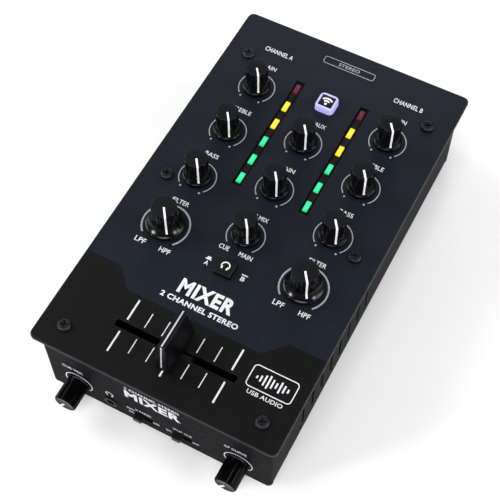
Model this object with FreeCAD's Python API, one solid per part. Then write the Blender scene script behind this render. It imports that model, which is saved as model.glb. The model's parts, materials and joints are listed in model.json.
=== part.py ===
import FreeCAD, Part
import math
import os

# Compact two-channel DJ mixer.  Millimetres, +Z up, front towards -Y.
# The origin is on the surface that the feet rest on, under the centre of the faceplate.

V = FreeCAD.Vector
X_AXIS = V(1, 0, 0)
Y_AXIS = V(0, 1, 0)
Z_AXIS = V(0, 0, 1)
ORIGIN = V(0, 0, 0)

# ---------------------------------------------------------------- driving dimensions
PLATE_W = 105.0           # faceplate, left to right
PLATE_L = 181.0           # faceplate, front to rear
PLATE_T = 1.5
PLATE_R = 2.7             # plan radius of the faceplate corners
PLATE_EDGE = 0.3          # broken top edge
CASE_INSET = 2.7          # faceplate overhang all round
CASE_H = 40.0             # folded case, without faceplate and feet
CASE_R = 2.0              # outer bend radius of the front and rear walls
SHEET = 1.0               # case sheet thickness
SEAM = 0.3                # gap between the side walls and the wrapped front and rear walls
RETURN_L = 2.6            # how far the front and rear walls wrap along the sides
FLOOR_BEND = 1.5          # outer bend radius along the bottom edges
FLOOR_FIT = 0.1           # floor to front and rear walls
FOOT_H = 2.5
FOOT_R = 5.0
FOOT_X = 38.0
FOOT_Y = 74.0

ROW_PITCH = 25.95         # channel knobs, front to rear
GAIN_Y = 53.9
COLUMN_X = 30.6
AUX_Y = 36.8
MAIN_Y = 10.9
MIX_Y = -13.9
SWEEP_DEG = 290.0         # full turn of every rotary control
KNOB_H = 13.6             # knob top above the faceplate
KNOB_GAP = 0.6            # knob underside above the faceplate
KNOB_CAP_R = 4.7
KNOB_SKIRT_R = 6.0
FILTER_CAP_R = 5.0
FILTER_SKIRT_R = 8.1
FLUTES = 10
SHAFT_R = 3.0
SHAFT_FIT = 0.05          # radial clearance of a shaft in its pot
KNOB_FIT = 0.03           # radial clearance of a knob on its shaft
SHAFT_FLAT = 1.5          # distance of the D flat from the shaft axis
POT_W = 9.6
POT_L = 11.0
POT_H = 6.8
COLLAR_R = 3.5
POT_HOLE_R = 3.8

FRONT_KNOB_X = 35.7
FRONT_KNOB_DROP = 30.6    # front knob axis below the faceplate surface
FRONT_KNOB_R = 4.7
FRONT_KNOB_L = 10.4

METER_X = 15.05
METER_Y = 35.6            # middle of the six segments
METER_W = 4.3
METER_L = 59.5
SEGMENTS = 6
SEGMENT_PITCH = 10.2
LED_W = 2.1
LED_L = 5.1

SLOT_Y = -70.15           # crossfader slot
SLOT_W = 3.2
FADER_TRAVEL = 45.0
SLOT_L = FADER_TRAVEL + 7.0
FADER_CAP_TOP = 18.0      # ridge of the fader cap above the faceplate
FADER_CAP_GAP = 1.8

CUE_Y = -30.8
CUE_SIDE = 7.4
CUE_H = 2.2               # cue button above the faceplate
CUE_TRAVEL = 1.2
WIRELESS_Y = 59.2
WIRELESS_SIDE = 8.4
WIRELESS_H = 2.8
WIRELESS_TRAVEL = 1.0
BUTTON_GAP = 0.2          # clearance round a button in the faceplate

SCREW_X = 42.2
SCREW_YS = (68.5, -2.7, -80.8)
M3_HEAD_R = 2.8
M3_HEAD_H = 1.5
M3_SHANK_R = 1.45
M3_TAP_R = 1.5
M3_CLEAR_R = 1.7
FACE_SCREW_L = 6.0
CHASSIS_SCREW_L = 4.0

VENT_COUNT = 8
VENT_PITCH = 8.27
VENT_FIRST_Y = -2.7
VENT_W = 1.6
VENT_LOW = 10.3
VENT_HIGH = 23.6

BOARD_T = 1.6
MAIN_BOARD_GAP = 1.5      # main board above the floor
MAIN_BOARD_X = 45.0
MAIN_BOARD_Y = 84.0
CONTROL_BOARD_X = 46.0
CONTROL_BOARD_FRONT = -84.5
CONTROL_BOARD_REAR = 65.5
POT_DROP = 1.5            # pot bodies below the faceplate

JACK_X = -21.4
JACK_BORE_R = 1.8
JACK_FERRULE_R = 3.0
JACK_L = 12.0
JACK_H = 5.2
FRONT_SWITCH_XS = (-6.3, 11.2)
REAR_SWITCH_XS = (-12.5, 12.5)
SWITCH_SLOT_W = 8.2
SWITCH_SLOT_H = 3.6
SWITCH_TRAVEL = 4.0
SLIDER_W = 3.6
SLIDER_H = 2.8
SLIDER_OUT = 2.6          # slider tip in front of the wall

RCA_XS = (-38.0, -24.0, 24.0, 38.0)
RCA_PITCH_Z = 14.0
RCA_R = 4.15              # outer shell of a phono socket
RCA_BORE_R = 3.55
RCA_INSERT_R = 3.5
RCA_PIN_R = 1.65          # hole for the plug's centre pin
RCA_NECK_R = 3.95         # shell where it passes through the rear wall
RCA_STEP = 0.3            # full radius starts this far behind the wall
RCA_OUT = 9.0
USB_W = 12.0
USB_H = 10.8
USB_L = 16.0
USB_MOUTH_W = 8.6
USB_MOUTH_H = 8.0
USB_MOUTH_CUT = 1.4       # chamfer of the two upper corners
USB_MOUTH_L = 11.0
USB_TONGUE_W = 5.6
USB_TONGUE_H = 3.2
STUD_R = 1.9              # ground post
NUT_R = 3.6
GRIP_R = 4.0
GRIP_TEETH = 20
# The ground post reaches as far back as the front knobs reach forward.
GROUND_OUT = KNOB_GAP + FRONT_KNOB_L + 0.15

RISER_Y = 24.0
RISER_X = 20.0            # half width of the riser board
RISER_TABS = (-12.0, 12.0)
RISER_TAB_W = 8.0

FADER_X = 37.0            # half length of the fader frame
FADER_HALF_Y = 5.6
FADER_WALL = 0.8
RAIL_Y = 3.7
RAIL_R = 1.0
LEVER_W = 3.2
LEVER_T = 1.2
LEVER_FIT = 0.03          # lever in its carriage and in its cap

# ---------------------------------------------------------------- levels and planes
Z_FLOOR = FOOT_H
Z_INSIDE = FOOT_H + SHEET
Z_SEAT = FOOT_H + CASE_H
Z_TOP = Z_SEAT + PLATE_T
CASE_X = PLATE_W / 2 - CASE_INSET
CASE_Y = PLATE_L / 2 - CASE_INSET
INNER_X = CASE_X - SHEET
INNER_Y = CASE_Y - SHEET
SOCKET_Y = INNER_Y - 0.1  # front face of what sits against the inside of the front or rear wall
SIDE_END_Y = CASE_Y - RETURN_L - SEAM
Z_MAIN_LOW = Z_INSIDE + MAIN_BOARD_GAP
Z_MAIN = Z_MAIN_LOW + BOARD_T
Z_POT_TOP = Z_SEAT - POT_DROP
Z_CONTROL = Z_POT_TOP - POT_H
Z_CONTROL_LOW = Z_CONTROL - BOARD_T
Z_FRONT_KNOB = Z_TOP - FRONT_KNOB_DROP
Z_JACK = Z_MAIN + 2.5
Z_SWITCH = Z_MAIN + 2.8
Z_RCA_LOW = Z_MAIN + 7.3
Z_GROUND = Z_RCA_LOW + RCA_PITCH_Z
Z_FRAME_TOP = Z_SEAT - 1.0
Z_RAIL = Z_CONTROL + 3.2
LEVER_LOW = Z_CONTROL + 1.8
LEVER_TOP = Z_TOP + 8.5
REST_DEG = SWEEP_DEG / 2

PANEL_SCREWS = [(x, y) for x in (-28.0, 28.0) for y in (-80.5, 80.5)]
PILLARS = [(side * x, y) for side in (-1, 1) for x, y in ((22.0, 60.0), (16.0, -21.5), (42.0, -58.0))]
SPACERS = [(x, y) for x in (-40.0, 40.0) for y in (-58.0, 0.0, 58.0)]


# ---------------------------------------------------------------- shape helpers
def block(x0, x1, y0, y1, z0, z1):
    return Part.makeBox(x1 - x0, y1 - y0, z1 - z0, V(x0, y0, z0))


def centred(cx, cy, width, length, z0, z1):
    return block(cx - width / 2, cx + width / 2, cy - length / 2, cy + length / 2, z0, z1)


def post(cx, cy, radius, z0, z1):
    return Part.makeCylinder(radius, z1 - z0, V(cx, cy, z0), Z_AXIS)


def post_y(cx, cz, radius, y0, y1):
    return Part.makeCylinder(radius, y1 - y0, V(cx, y0, cz), Y_AXIS)


def edges_along(shape, axis):
    found = []
    for edge in shape.Edges:
        if isinstance(edge.Curve, Part.Line) and abs(edge.Curve.Direction.dot(axis)) > 0.999:
            found.append(edge)
    return found


def rounded(shape, axis, radius):
    return shape.makeFillet(radius, edges_along(shape, axis))


def rounded_block(cx, cy, width, length, z0, z1, radius):
    return rounded(centred(cx, cy, width, length, z0, z1), Z_AXIS, radius)


def top_rim(shape, z):
    found = []
    for edge in shape.Edges:
        if abs(edge.BoundBox.ZMin - z) < 1e-6 and edge.BoundBox.ZLength < 1e-6:
            found.append(edge)
    return found


def spun(points):
    """Solid of revolution about Z from (radius, height) corners."""
    corners = [V(r, 0, z) for r, z in points]
    outline = Part.makePolygon(corners + [corners[0]])
    return Part.Face(outline).revolve(ORIGIN, Z_AXIS, 360)


def moved(shape, x, y, z):
    copy = shape.copy()
    copy.translate(V(x, y, z))
    return copy


def turned(shape, axis, degrees):
    copy = shape.copy()
    copy.rotate(ORIGIN, axis, degrees)
    return copy


def cut_all(shape, tools):
    return shape.cut(Part.makeCompound(tools)) if tools else shape


def save(name, *solids):
    shape = solids[0] if len(solids) == 1 else Part.makeCompound(list(solids))
    shape = shape.removeSplitter()
    shape.exportStep("parts/" + name + ".step")
    print(f"{name:26s} solids {len(shape.Solids):2d}  volume {shape.Volume:10.1f}  valid {shape.isValid()}")


# ---------------------------------------------------------------- controls: places and kinds
def top_knobs():
    """Name, x, y and whether the knob is the wide filter kind."""
    places = []
    for channel, side in (("a", -1), ("b", 1)):
        for row, name in enumerate(("gain", "treble", "bass", "filter")):
            y = GAIN_Y - row * ROW_PITCH
            places.append((f"{name}_{channel}", side * COLUMN_X, y, name == "filter"))
    for name, y in (("aux", AUX_Y), ("main", MAIN_Y), ("mix", MIX_Y)):
        places.append((name, 0.0, y, False))
    return places


def front_knobs():
    return [("cue_volume", -FRONT_KNOB_X), ("fader_curve", FRONT_KNOB_X)]


# ---------------------------------------------------------------- case
def faceplate():
    plate = rounded_block(0, 0, PLATE_W, PLATE_L, Z_SEAT, Z_TOP, PLATE_R)
    plate = plate.makeChamfer(PLATE_EDGE, top_rim(plate, Z_TOP))
    low = Z_SEAT - 1
    high = Z_TOP + 1
    holes = [post(x, y, POT_HOLE_R, low, high) for _, x, y, _ in top_knobs()]
    holes += [post(side * SCREW_X, y, M3_CLEAR_R, low, high) for side in (-1, 1) for y in SCREW_YS]
    holes += [centred(side * METER_X, METER_Y, METER_W, METER_L, low, high) for side in (-1, 1)]
    holes.append(rounded_block(0, SLOT_Y, SLOT_L, SLOT_W, low, high, 0.6))
    cue_hole = CUE_SIDE + 2 * BUTTON_GAP
    holes.append(rounded_block(0, CUE_Y, cue_hole, cue_hole, low, high, 0.7))
    wireless_hole = WIRELESS_SIDE + 2 * BUTTON_GAP
    holes.append(rounded_block(0, WIRELESS_Y, wireless_hole, wireless_hole, low, high, 2.2))
    return cut_all(plate, holes)


def bottom_tray():
    outer = block(-CASE_X, CASE_X, -SIDE_END_Y, SIDE_END_Y, Z_FLOOR, Z_SEAT)
    bottom_edges = [edge for edge in edges_along(outer, Y_AXIS) if edge.BoundBox.ZMax < Z_INSIDE]
    outer = outer.makeFillet(FLOOR_BEND, bottom_edges)
    inner = block(-INNER_X, INNER_X, -CASE_Y, CASE_Y, Z_INSIDE, Z_SEAT + 1)
    inner_edges = [edge for edge in edges_along(inner, Y_AXIS) if edge.BoundBox.ZMax < Z_SEAT]
    inner = inner.makeFillet(FLOOR_BEND - SHEET, inner_edges)
    tray = outer.cut(inner)
    floor_w = 2 * (INNER_X - FLOOR_FIT)
    floor_l = 2 * (INNER_Y - FLOOR_FIT)
    tray = tray.fuse(rounded_block(0, 0, floor_w, floor_l, Z_FLOOR, Z_INSIDE, CASE_R - SHEET))
    tab_reach = 38.0
    tab_half = 6.0
    for side in (-1, 1):
        for y in SCREW_YS[:2]:
            xs = sorted((side * tab_reach, side * INNER_X))
            tab = block(xs[0], xs[1], y - tab_half, y + tab_half, Z_SEAT - SHEET, Z_SEAT)
            tray = tray.fuse(tab)
    cuts = []
    for side in (-1, 1):
        for y in SCREW_YS[:2]:
            cuts.append(post(side * SCREW_X, y, M3_TAP_R, Z_INSIDE + 1, Z_SEAT + 1))
    cuts += [post(x, y, M3_CLEAR_R, 0, Z_INSIDE + 1) for x, y in PANEL_SCREWS + SPACERS]
    for index in range(VENT_COUNT):
        y = VENT_FIRST_Y - index * VENT_PITCH
        slit = block(-CASE_X - 1, CASE_X + 1, y - VENT_W / 2, y + VENT_W / 2, VENT_LOW, VENT_HIGH)
        cuts.append(slit)
    return cut_all(tray, cuts)


def wrapped_wall():
    """Front wall with its two bends, its floor flange and the lip under the faceplate."""
    back = -CASE_Y + RETURN_L
    depth = 3 * RETURN_L
    outer = rounded_block(0, -CASE_Y + depth / 2, 2 * CASE_X, depth, Z_FLOOR, Z_SEAT, CASE_R)
    inner_y = -INNER_Y + depth / 2
    inner = rounded_block(0, inner_y, 2 * INNER_X, depth, Z_FLOOR - 1, Z_SEAT + 1, CASE_R - SHEET)
    wall = outer.cut(inner).cut(block(-PLATE_W, PLATE_W, back, 0, 0, Z_TOP))
    flange_x = 43.0
    flange_l = 10.0
    lip_x = 44.0
    lip_l = 5.0
    flange = block(-flange_x, flange_x, -INNER_Y, -INNER_Y + flange_l, Z_INSIDE, Z_INSIDE + SHEET)
    lip = block(-lip_x, lip_x, -INNER_Y, -INNER_Y + lip_l, Z_SEAT - SHEET, Z_SEAT)
    wall = wall.fuse(flange).fuse(lip)
    tapped = [post(x, y, M3_TAP_R, Z_FLOOR - 1, Z_INSIDE + 2) for x, y in PANEL_SCREWS if y < 0]
    return cut_all(wall, tapped)


def switch_slot(x, y0, y1):
    width = SWITCH_SLOT_W / 2
    height = SWITCH_SLOT_H / 2
    return rounded(block(x - width, x + width, y0, y1, Z_SWITCH - height, Z_SWITCH + height), Y_AXIS, 0.4)


def front_panel():
    wall = wrapped_wall()
    screw_y = SCREW_YS[2]
    tab_in = 38.5
    tab_out = 46.5
    for side in (-1, 1):
        xs = sorted((side * tab_in, side * tab_out))
        tab = block(xs[0], xs[1], -INNER_Y, screw_y + 5.5, Z_SEAT - SHEET, Z_SEAT)
        wall = wall.fuse(tab)
    cuts = [post(side * SCREW_X, screw_y, M3_TAP_R, Z_SEAT - 5, Z_SEAT + 1) for side in (-1, 1)]
    wall_from = -CASE_Y - 1
    wall_to = -INNER_Y + 0.5
    cuts += [post_y(x, Z_FRONT_KNOB, POT_HOLE_R, wall_from, wall_to) for _, x in front_knobs()]
    cuts.append(post_y(JACK_X, Z_JACK, JACK_FERRULE_R + 0.1, wall_from, wall_to))
    cuts += [switch_slot(x, wall_from, wall_to) for x in FRONT_SWITCH_XS]
    return cut_all(wall, cuts)


def rear_panel():
    wall = turned(wrapped_wall(), Z_AXIS, 180)
    wall_from = INNER_Y - 0.5
    wall_to = CASE_Y + 1
    cuts = [post_y(x, z, RCA_NECK_R + 0.15, wall_from, wall_to) for x, z in rca_places()]
    cuts += [switch_slot(x, wall_from, wall_to) for x in REAR_SWITCH_XS]
    half = USB_W / 2 + 0.2
    cuts.append(block(-half, half, wall_from, wall_to, Z_MAIN - 0.2, Z_MAIN + USB_H + 0.2))
    cuts.append(post_y(0, Z_GROUND, STUD_R + 0.2, wall_from, wall_to))
    return cut_all(wall, cuts)


def foot(x, y):
    pad = post(x, y, FOOT_R, 0, FOOT_H)
    rim = [edge for edge in pad.Edges if edge.BoundBox.ZMax < 1e-6]
    return pad.makeChamfer(0.5, rim)


# ---------------------------------------------------------------- fasteners
def pan_screw(length):
    """Cross-recess pan-head screw, head upwards, underside of the head at the origin."""
    head = post(0, 0, M3_HEAD_R, 0, M3_HEAD_H)
    head = head.makeFillet(1.0, top_rim(head, M3_HEAD_H))
    shank = post(0, 0, M3_SHANK_R, -length, 0)
    tip = [edge for edge in shank.Edges if edge.BoundBox.ZMax < -length + 1e-6]
    shank = shank.makeChamfer(0.4, tip)
    arm = 1.5
    recess_floor = M3_HEAD_H - 1.0
    cross = [centred(0, 0, 2 * arm, 0.6, recess_floor, 3), centred(0, 0, 0.6, 2 * arm, recess_floor, 3)]
    return cut_all(head.fuse(shank), cross)


def faceplate_screws():
    screw = turned(pan_screw(FACE_SCREW_L), Z_AXIS, 20)
    return [moved(screw, side * SCREW_X, y, Z_TOP) for side in (-1, 1) for y in SCREW_YS]


def chassis_screws():
    down = pan_screw(CHASSIS_SCREW_L)
    up = turned(down, X_AXIS, 180)
    screws = [moved(up, x, y, Z_FLOOR) for x, y in PANEL_SCREWS]
    screws += [moved(down, x, y, Z_MAIN) for x, y in SPACERS]
    screws += [moved(up, x, y, Z_CONTROL_LOW) for x, y in PILLARS]
    return screws


def hex_pillar(x, y):
    across_corners = 5.0 / math.cos(math.pi / 6)
    corners = []
    for step in range(7):
        angle = step * math.pi / 3
        reach = across_corners / 2
        corners.append(V(x + reach * math.cos(angle), y + reach * math.sin(angle), Z_CONTROL))
    body = Part.Face(Part.makePolygon(corners)).extrude(V(0, 0, Z_SEAT - Z_CONTROL))
    return body.cut(post(x, y, M3_TAP_R, Z_CONTROL - 1, Z_SEAT - 2))


def spacer(x, y):
    return post(x, y, 3.0, Z_INSIDE, Z_MAIN_LOW).cut(post(x, y, M3_TAP_R, 0, Z_MAIN))


# ---------------------------------------------------------------- boards
def riser_slots(z0, z1):
    return [centred(x, RISER_Y, RISER_TAB_W + 0.2, BOARD_T + 0.2, z0, z1) for x in RISER_TABS]


def control_board():
    half_w = CONTROL_BOARD_X
    board = block(-half_w, half_w, CONTROL_BOARD_FRONT, CONTROL_BOARD_REAR, Z_CONTROL_LOW, Z_CONTROL)
    board = rounded(board, Z_AXIS, 2.0)
    cuts = [post(x, y, M3_CLEAR_R, Z_CONTROL_LOW - 1, Z_CONTROL + 1) for x, y in PILLARS]
    cuts += riser_slots(Z_CONTROL_LOW - 1, Z_CONTROL + 1)
    return cut_all(board, cuts)


def main_board():
    board = rounded_block(0, 0, 2 * MAIN_BOARD_X, 2 * MAIN_BOARD_Y, Z_MAIN_LOW, Z_MAIN, 2.0)
    cuts = [post(x, y, M3_CLEAR_R, Z_MAIN_LOW - 1, Z_MAIN + 1) for x, y in PANEL_SCREWS + SPACERS]
    cuts += riser_slots(Z_MAIN_LOW - 1, Z_MAIN + 1)
    return cut_all(board, cuts)


def riser_board():
    body = centred(0, RISER_Y, 2 * RISER_X, BOARD_T, Z_MAIN, Z_CONTROL_LOW)
    tabs = [centred(x, RISER_Y, RISER_TAB_W, BOARD_T, Z_MAIN_LOW, Z_CONTROL) for x in RISER_TABS]
    return body.multiFuse(tabs)


# ---------------------------------------------------------------- rotary controls
def pot_body():
    """Pot with its mounting face at the origin and its shaft bore along +Z."""
    case = rounded_block(0, 0, POT_W, POT_L, 0, POT_H, 0.8)
    collar = post(0, 0, COLLAR_R, POT_H - 1, POT_H + 2.2)
    return case.fuse(collar).cut(post(0, 0, SHAFT_R + SHAFT_FIT, 2.0, POT_H + 3))


def front_pot(x):
    """Right-angle pot that stands on the main board behind the front wall."""
    front = -INNER_Y + POT_DROP
    half = POT_W / 2
    case = block(x - half, x + half, front, front + POT_H, Z_MAIN, Z_FRONT_KNOB + half)
    case = rounded(case, Y_AXIS, 0.8)
    collar = post_y(x, Z_FRONT_KNOB, COLLAR_R, front - 2.0, front + 1)
    bore = post_y(x, Z_FRONT_KNOB, SHAFT_R + SHAFT_FIT, front - 3, front + POT_H - 2.0)
    return case.fuse(collar).cut(bore)


def pot_bodies():
    pots = [moved(pot_body(), x, y, Z_CONTROL) for _, x, y, _ in top_knobs()]
    return pots + [front_pot(x) for _, x in front_knobs()]


def d_section(radius, z0, z1, flat):
    """Round bar along Z with a flat on its -Y side, as on a D shaft."""
    bar = post(0, 0, radius, z0, z1)
    return bar.cut(block(-radius, radius, -2 * radius, -flat, z0 - 1, z1 + 1))


def shaft(z0, z1, flat_from):
    """Pot shaft along Z: round in the pot, D-shaped where the knob sits."""
    return post(0, 0, SHAFT_R, z0, flat_from).fuse(d_section(SHAFT_R, flat_from, z1, SHAFT_FLAT))


def flutes(body_r, z0, z1):
    """Cutters for the finger grooves; the pointer sits on the rib at +Y."""
    groove_r = 1.5
    centre_r = body_r + 0.9
    cutters = []
    for index in range(FLUTES):
        angle = math.radians(90 + (index + 0.5) * 360 / FLUTES)
        cutters.append(post(centre_r * math.cos(angle), centre_r * math.sin(angle), groove_r, z0, z1))
    return cutters


def pointer_rib(cap_r, body_r, low, top):
    """Thin raised line from the cap's centre to its edge and down the front rib."""
    width = 0.9
    proud = 0.15
    over_cap = block(-width / 2, width / 2, 0.5, cap_r - 0.3, top - 0.5, top + proud)
    down_body = block(-width / 2, width / 2, body_r - 1, body_r + proud, low, top - 1)
    return [over_cap, down_body]


def top_knob(cap_r, skirt_r, flare_z):
    """Knob with its underside at z = 0, pointing to +Y."""
    height = KNOB_H - KNOB_GAP - 0.15
    body_r = cap_r - 0.25
    cap_low = height - 1.5
    skirt_top = 1.9
    mid_r = body_r + (skirt_r - body_r) * 0.35
    mid_z = skirt_top + (flare_z - skirt_top) * 0.40
    profile = [
        (0, 0), (skirt_r, 0), (skirt_r, skirt_top - 0.4), (skirt_r - 0.3, skirt_top),
        (mid_r, mid_z), (body_r, flare_z), (body_r, cap_low), (cap_r, cap_low + 0.3),
        (cap_r, height - 0.35), (cap_r - 0.35, height), (0, height),
    ]
    body = spun(profile)
    hollow = post(0, 0, body_r - 0.4, -1, 1.2)
    bore = d_section(SHAFT_R + KNOB_FIT, -1, height - 1.6, SHAFT_FLAT + KNOB_FIT)
    body = cut_all(body, flutes(body_r, flare_z - 0.9, cap_low) + [hollow, bore])
    return body.multiFuse(pointer_rib(cap_r, body_r, flare_z, height))


def front_knob():
    """Straight fluted knob with its underside at z = 0, pointing to +Y."""
    length = FRONT_KNOB_L
    radius = FRONT_KNOB_R
    profile = [
        (0, 0), (radius - 0.2, 0), (radius, 0.2),
        (radius, length - 0.7), (radius - 0.7, length), (0, length),
    ]
    bore = d_section(SHAFT_R + KNOB_FIT, -1, length - 1.6, SHAFT_FLAT + KNOB_FIT)
    body = cut_all(spun(profile), flutes(radius, 0.8, length + 1) + [bore])
    line = block(-0.45, 0.45, 0.5, radius - 0.8, length - 0.5, length + 0.15)
    return body.fuse(line)


def placed_on_top(shape, x, y, z):
    return moved(turned(shape, Z_AXIS, -REST_DEG), x, y, z)


def placed_on_front(shape, x, y):
    """Turn a +Z part to face forward, then to its anticlockwise stop."""
    facing = turned(shape, X_AXIS, 90)
    return moved(turned(facing, Y_AXIS, -REST_DEG), x, y, Z_FRONT_KNOB)


def save_rotary_controls():
    small = top_knob(KNOB_CAP_R, KNOB_SKIRT_R, 4.2)
    wide = top_knob(FILTER_CAP_R, FILTER_SKIRT_R, 5.2)
    shaft_low = Z_CONTROL + 2.2
    shaft_top = Z_TOP + KNOB_H - 2.2
    stem = shaft(0, shaft_top - shaft_low, Z_TOP + KNOB_GAP - shaft_low)
    for name, x, y, is_filter in top_knobs():
        save(name + "_knob", placed_on_top(wide if is_filter else small, x, y, Z_TOP + KNOB_GAP))
        save(name + "_shaft", placed_on_top(stem, x, y, shaft_low))
    knob = front_knob()
    knob_back = -CASE_Y - KNOB_GAP
    shaft_back = -INNER_Y + POT_DROP + POT_H - 2.2
    shaft_length = FRONT_KNOB_L - 2.0 - (knob_back - shaft_back)
    stem = shaft(0, shaft_length, shaft_back - knob_back)
    for name, x in front_knobs():
        save(name + "_knob", placed_on_front(knob, x, knob_back))
        save(name + "_shaft", placed_on_front(stem, x, shaft_back))


# ---------------------------------------------------------------- crossfader
def crossfader_frame():
    outer = block(-FADER_X, FADER_X, SLOT_Y - FADER_HALF_Y, SLOT_Y + FADER_HALF_Y, Z_CONTROL, Z_FRAME_TOP)
    inside_x = FADER_X - FADER_WALL
    inside_y = FADER_HALF_Y - FADER_WALL
    low = Z_CONTROL + FADER_WALL
    high = Z_FRAME_TOP - FADER_WALL
    inner = block(-inside_x, inside_x, SLOT_Y - inside_y, SLOT_Y + inside_y, low, high)
    slot = centred(0, SLOT_Y, SLOT_L, SLOT_W, Z_FRAME_TOP - 2, Z_FRAME_TOP + 1)
    return outer.cut(inner).cut(slot)


def crossfader_rails():
    reach = FADER_X - FADER_WALL
    rails = []
    for side in (-1, 1):
        start = V(-reach, SLOT_Y + side * RAIL_Y, Z_RAIL)
        rails.append(Part.makeCylinder(RAIL_R, 2 * reach, start, X_AXIS))
    return rails


def crossfader_carriage():
    half_x = 6.0
    half_y = FADER_HALF_Y - FADER_WALL - 0.3
    body = block(-half_x, half_x, SLOT_Y - half_y, SLOT_Y + half_y, Z_CONTROL + 1.2, Z_CONTROL + 5.2)
    cuts = []
    for side in (-1, 1):
        start = V(-half_x - 1, SLOT_Y + side * RAIL_Y, Z_RAIL)
        cuts.append(Part.makeCylinder(RAIL_R + SHAFT_FIT, 2 * half_x + 2, start, X_AXIS))
    cuts.append(lever_socket(LEVER_LOW, Z_SEAT))
    return cut_all(body, cuts)


def lever_socket(z0, z1):
    return centred(0, SLOT_Y, LEVER_W + 2 * LEVER_FIT, LEVER_T + 2 * LEVER_FIT, z0, z1)


def crossfader_lever():
    lever = centred(0, SLOT_Y, LEVER_W, LEVER_T, LEVER_LOW, LEVER_TOP)
    ends = [edge for edge in edges_along(lever, Y_AXIS) if edge.BoundBox.ZMin > LEVER_TOP - 0.1]
    return lever.makeChamfer(0.5, ends)


def crossfader_cap():
    """Blade cap: flanks that lean in from the foot to a narrow ridge along Y."""
    sections = [  # height above the faceplate, width, length
        (FADER_CAP_GAP, 6.4, 20.6),
        (FADER_CAP_GAP + 1.6, 6.2, 20.4),
        (6.5, 5.5, 19.6),
        (10.5, 4.5, 18.6),
        (14.5, 3.6, 17.6),
        (FADER_CAP_TOP, 3.0, 16.8),
    ]
    wires = []
    for height, width, length in sections:
        flat = rounded_block(0, SLOT_Y, width, length, Z_TOP + height, Z_TOP + height + 1, 1.2)
        low = [face for face in flat.Faces if abs(face.CenterOfMass.z - Z_TOP - height) < 1e-6]
        wires.append(low[0].OuterWire)
    body = Part.makeLoft(wires, True, False)
    return body.cut(lever_socket(Z_TOP, LEVER_TOP + 0.1))


# ---------------------------------------------------------------- buttons and switches
def push_button(y, side, corner, height, travel):
    """Square cap through the faceplate, a retaining flange below it and a stem into the switch."""
    flange_low = Z_SEAT - 1.0
    top = Z_TOP + height
    cap = rounded_block(0, y, side, side, flange_low, top, corner)
    cap = cap.makeFillet(0.5, top_rim(cap, top))
    flange = rounded_block(0, y, side + 1.8, side + 1.8, flange_low, Z_SEAT - 0.2, corner)
    stem = centred(0, y, 3.0, 3.0, Z_CONTROL + 1.0 + travel + 0.3, flange_low + 0.2)
    return cap.fuse(flange).fuse(stem)


def push_switch(y):
    body = rounded_block(0, y, 7.0, 7.0, Z_CONTROL, Z_CONTROL + 4.8, 0.5)
    return body.cut(centred(0, y, 3.1, 3.1, Z_CONTROL + 1.0, Z_CONTROL + 6))


def slide_switch_body(x):
    """Switch behind the front wall; its window faces forward."""
    front = -SOCKET_Y
    depth = 4.6
    half_w = 6.0
    wall = 0.8
    half_h = 2.2
    body = block(x - half_w, x + half_w, front, front + depth, Z_MAIN, Z_SWITCH + half_h + 0.7)
    window = switch_slot(x, front - 1, front + 1)
    inside = half_w - wall
    back = front + depth - wall
    chamber = block(x - inside, x + inside, front + 0.5, back, Z_SWITCH - half_h, Z_SWITCH + half_h)
    return body.cut(window).cut(chamber)


def slide_switch_slider(x):
    """Slider at its left stop: a tongue through the wall and a shoe inside the switch."""
    front = -SOCKET_Y
    centre = x - SWITCH_TRAVEL / 2
    shoe_w = 5.2
    shoe_h = 3.8
    tongue = block(
        centre - SLIDER_W / 2, centre + SLIDER_W / 2, -CASE_Y - SLIDER_OUT, front + 1.5,
        Z_SWITCH - SLIDER_H / 2, Z_SWITCH + SLIDER_H / 2,
    )
    tip = [edge for edge in tongue.Edges if edge.BoundBox.YMax < -CASE_Y - SLIDER_OUT + 1e-6]
    tongue = tongue.makeFillet(0.4, tip)
    shoe = block(
        centre - shoe_w / 2, centre + shoe_w / 2, front + 0.8, front + 3.0,
        Z_SWITCH - shoe_h / 2, Z_SWITCH + shoe_h / 2,
    )
    return tongue.fuse(shoe)


def rear_copy(builder, x):
    return turned(builder(-x), Z_AXIS, 180)


# ---------------------------------------------------------------- meters
def meter_bezel(side):
    """Black strip that fills a meter window, with one opening for each segment."""
    x = side * METER_X
    strip = centred(x, METER_Y, METER_W - 0.1, METER_L - 0.1, Z_SEAT - 1.0, Z_TOP - 0.25)
    flange = centred(x, METER_Y, METER_W + 2.0, METER_L + 2.0, Z_SEAT - 1.0, Z_SEAT - 0.05)
    openings = [centred(x, y, LED_W + 0.2, LED_L + 0.2, Z_SEAT - 2, Z_TOP) for y in segment_ys()]
    return cut_all(strip.fuse(flange), openings)


def segment_ys():
    return [METER_Y + (index - (SEGMENTS - 1) / 2) * SEGMENT_PITCH for index in range(SEGMENTS)]


def meter_led(side, y):
    x = side * METER_X
    lens = centred(x, y, LED_W, LED_L, Z_CONTROL + 1.0, Z_TOP - 0.1)
    base = centred(x, y, LED_W + 0.9, LED_L + 0.9, Z_CONTROL, Z_CONTROL + 1.2)
    return lens.fuse(base)


# ---------------------------------------------------------------- sockets
def headphone_jack():
    front = -SOCKET_Y
    half_w = 3.0
    body = block(JACK_X - half_w, JACK_X + half_w, front, front + JACK_L, Z_MAIN, Z_MAIN + JACK_H)
    ferrule = post_y(JACK_X, Z_JACK, JACK_FERRULE_R, -CASE_Y - 0.5, front + 0.5)
    below_board = block(JACK_X - 4, JACK_X + 4, front - 0.01, front + 1, 0, Z_MAIN)
    jack = body.fuse(ferrule.cut(below_board))
    return jack.cut(post_y(JACK_X, Z_JACK, JACK_BORE_R, -CASE_Y - 1, front + JACK_L - 1.0))


def rca_places():
    return [(x, z) for x in RCA_XS for z in (Z_RCA_LOW, Z_RCA_LOW + RCA_PITCH_Z)]


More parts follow.
